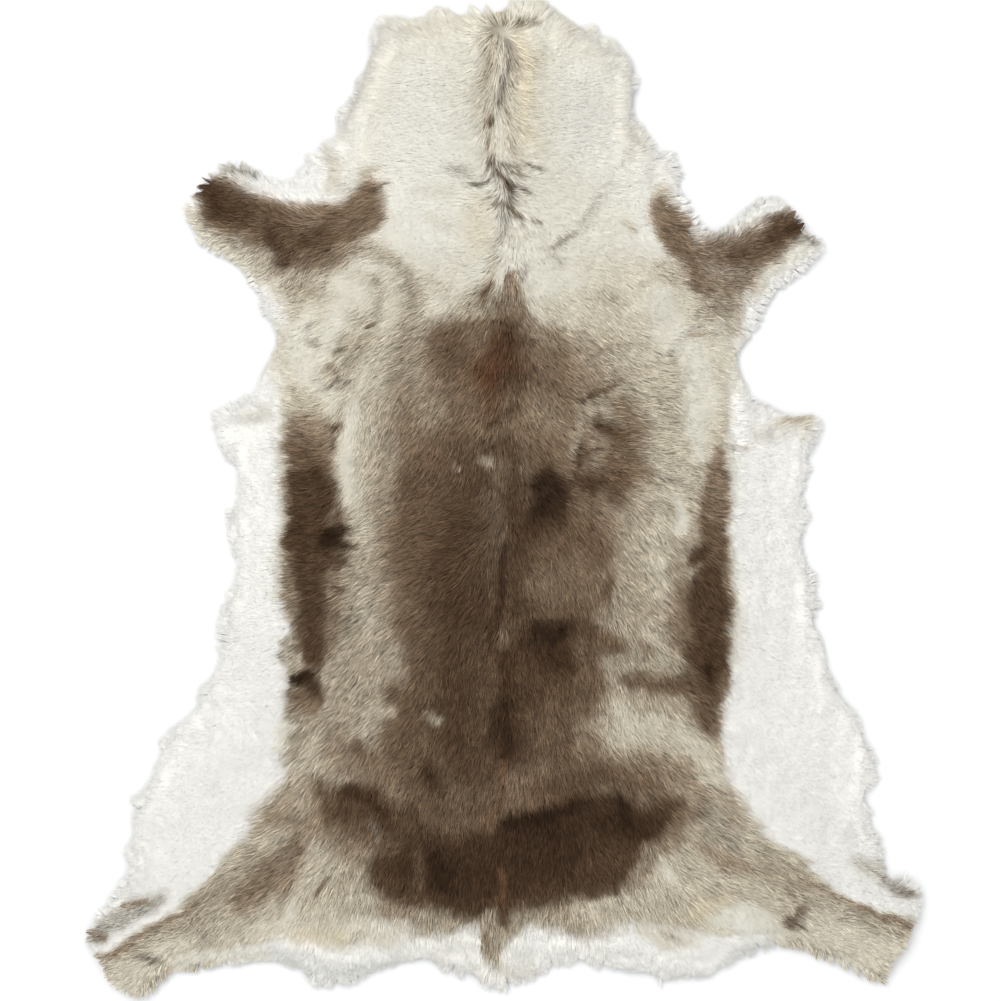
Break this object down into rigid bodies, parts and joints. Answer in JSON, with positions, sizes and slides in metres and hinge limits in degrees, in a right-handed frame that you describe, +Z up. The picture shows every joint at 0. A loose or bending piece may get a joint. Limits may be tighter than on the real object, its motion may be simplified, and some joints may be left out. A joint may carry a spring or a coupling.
{
  "type": "reindeer hide",
  "caption": "Whole reindeer hide laid out flat, hair side up, with its neck, legs and tail, dark back and pale belly edges.",
  "frame": {"origin": "on the floor, under the middle of the hide's length and width", "axes": "+Y towards the neck end, +X towards the right foreleg as seen from above with the neck away, +Z up out of the hair"},
  "size_m": [1.054, 1.2502, 0.0267],
  "materials": {
    "hair": "matt, softly glossy hair in cream, taupe and dark brown",
    "skin": "tanned skin side, matt suede"
  },
  "bodies": {
    "root": {"hide": "hair"}
  },
  "joints": []
}
